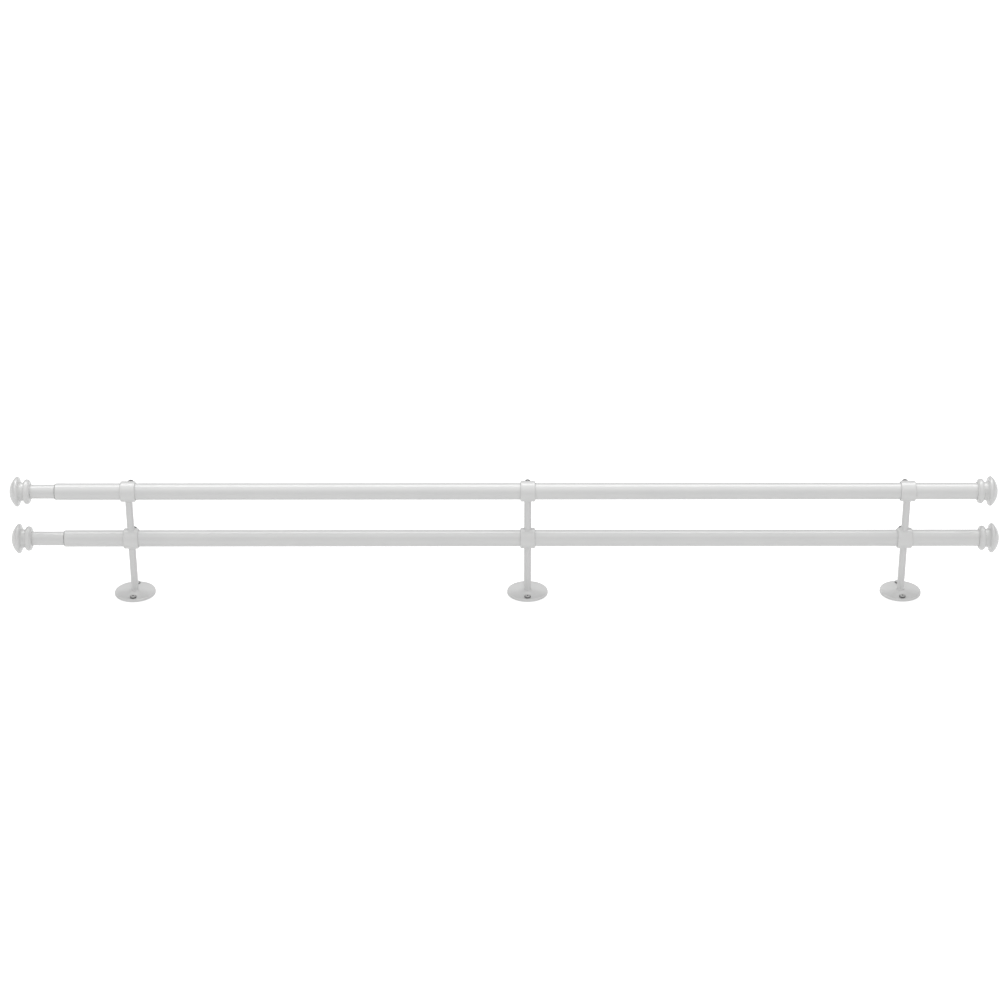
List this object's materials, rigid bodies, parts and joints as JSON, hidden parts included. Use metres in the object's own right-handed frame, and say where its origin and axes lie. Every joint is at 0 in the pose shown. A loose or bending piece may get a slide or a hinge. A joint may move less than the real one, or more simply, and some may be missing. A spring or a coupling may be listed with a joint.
{
  "type": "curtain rod with brackets",
  "caption": "Double telescoping curtain rod in white, with turned end finials, on wall brackets whose rings clamp the rods with screws.",
  "frame": {"origin": "centre of the middle bracket's back face, on the wall", "axes": "+Z out from the wall along the bracket arms; +X along the rods, towards their fixed ends and away from the telescoping ends; +Y along the clamp screws"},
  "size_m": [1.22, 0.0525, 0.1586],
  "materials": {
    "white_paint": "white gloss powder coat on steel tube and die-cast brackets",
    "white_finial": "white gloss moulded resin",
    "steel": "zinc-plated steel screws",
    "nylon": "natural nylon, hidden inside the tubes"
  },
  "bodies": {
    "bracket_middle": {"middle_wall_plate": "white_paint", "middle_rear_arm": "white_paint", "middle_rear_ring": "white_paint", "middle_front_arm": "white_paint", "middle_front_ring": "white_paint", "middle_wall_screw_1": "steel", "middle_wall_screw_2": "steel"},
    "bracket_left": {"left_wall_plate": "white_paint", "left_rear_arm": "white_paint", "left_rear_ring": "white_paint", "left_front_arm": "white_paint", "left_front_ring": "white_paint", "left_wall_screw_1": "steel", "left_wall_screw_2": "steel"},
    "bracket_right": {"right_wall_plate": "white_paint", "right_rear_arm": "white_paint", "right_rear_ring": "white_paint", "right_front_arm": "white_paint", "right_front_ring": "white_paint", "right_wall_screw_1": "steel", "right_wall_screw_2": "steel"},
    "front_rod": {"front_outer_tube": "white_paint"},
    "front_extension": {"front_inner_tube": "white_paint", "front_guide_plug": "nylon"},
    "front_left_finial": {"front_left_finial_cap": "white_finial", "front_left_finial_plug": "nylon"},
    "front_right_finial": {"front_right_finial_cap": "white_finial", "front_right_finial_plug": "nylon"},
    "rear_rod": {"rear_outer_tube": "white_paint"},
    "rear_extension": {"rear_inner_tube": "white_paint", "rear_guide_plug": "nylon"},
    "rear_left_finial": {"rear_left_finial_cap": "white_finial", "rear_left_finial_plug": "nylon"},
    "rear_right_finial": {"rear_right_finial_cap": "white_finial", "rear_right_finial_plug": "nylon"},
    "middle_rear_clamp": {"middle_rear_clamp_screw": "steel"},
    "middle_front_clamp": {"middle_front_clamp_screw": "steel"},
    "left_rear_clamp": {"left_rear_clamp_screw": "steel"},
    "left_front_clamp": {"left_front_clamp_screw": "steel"},
    "right_rear_clamp": {"right_rear_clamp_screw": "steel"},
    "right_front_clamp": {"right_front_clamp_screw": "steel"}
  },
  "joints": [
    {"name": "bracket_left_slide", "type": "slide", "parent": "bracket_middle", "child": "bracket_left", "axis": [1, 0, 0], "range_m": [-0.03, 0.4]},
    {"name": "bracket_right_slide", "type": "slide", "parent": "bracket_middle", "child": "bracket_right", "axis": [1, 0, 0], "range_m": [-0.38, 0.03]},
    {"name": "front_rod_slide", "type": "slide", "parent": "bracket_middle", "child": "front_rod", "axis": [1, 0, 0], "range_m": [-0.045, 0.04]},
    {"name": "front_extension_slide", "type": "slide", "parent": "front_rod", "child": "front_extension", "axis": [-1, 0, 0], "range_m": [-0.03, 0.921]},
    {"name": "front_left_finial_pull", "type": "slide", "parent": "front_extension", "child": "front_left_finial", "axis": [-1, 0, 0], "range_m": [0, 0.03]},
    {"name": "front_right_finial_pull", "type": "slide", "parent": "front_rod", "child": "front_right_finial", "axis": [1, 0, 0], "range_m": [0, 0.03]},
    {"name": "rear_rod_slide", "type": "slide", "parent": "bracket_middle", "child": "rear_rod", "axis": [1, 0, 0], "range_m": [-0.045, 0.04]},
    {"name": "rear_extension_slide", "type": "slide", "parent": "rear_rod", "child": "rear_extension", "axis": [-1, 0, 0], "range_m": [-0.0397, 0.9113]},
    {"name": "rear_left_finial_pull", "type": "slide", "parent": "rear_extension", "child": "rear_left_finial", "axis": [-1, 0, 0], "range_m": [0, 0.03]},
    {"name": "rear_right_finial_pull", "type": "slide", "parent": "rear_rod", "child": "rear_right_finial", "axis": [1, 0, 0], "range_m": [0, 0.03]},
    {"name": "left_rear_clamp_turn", "type": "hinge", "parent": "bracket_left", "child": "left_rear_clamp", "pos_m": [-0.4898, 0, 0.076], "axis": [0, 1, 0], "range_deg": [0, 720]},
    {"name": "left_front_clamp_turn", "type": "hinge", "parent": "bracket_left", "child": "left_front_clamp", "pos_m": [-0.4898, 0, 0.1402], "axis": [0, 1, 0], "range_deg": [0, 720]},
    {"name": "middle_rear_clamp_turn", "type": "hinge", "parent": "bracket_middle", "child": "middle_rear_clamp", "pos_m": [0, 0, 0.076], "axis": [0, 1, 0], "range_deg": [0, 720]},
    {"name": "middle_front_clamp_turn", "type": "hinge", "parent": "bracket_middle", "child": "middle_front_clamp", "pos_m": [0, 0, 0.1402], "axis": [0, 1, 0], "range_deg": [0, 720]},
    {"name": "right_rear_clamp_turn", "type": "hinge", "parent": "bracket_right", "child": "right_rear_clamp", "pos_m": [0.4655, 0, 0.076], "axis": [0, 1, 0], "range_deg": [0, 720]},
    {"name": "right_front_clamp_turn", "type": "hinge", "parent": "bracket_right", "child": "right_front_clamp", "pos_m": [0.4655, 0, 0.1402], "axis": [0, 1, 0], "range_deg": [0, 720]}
  ]
}
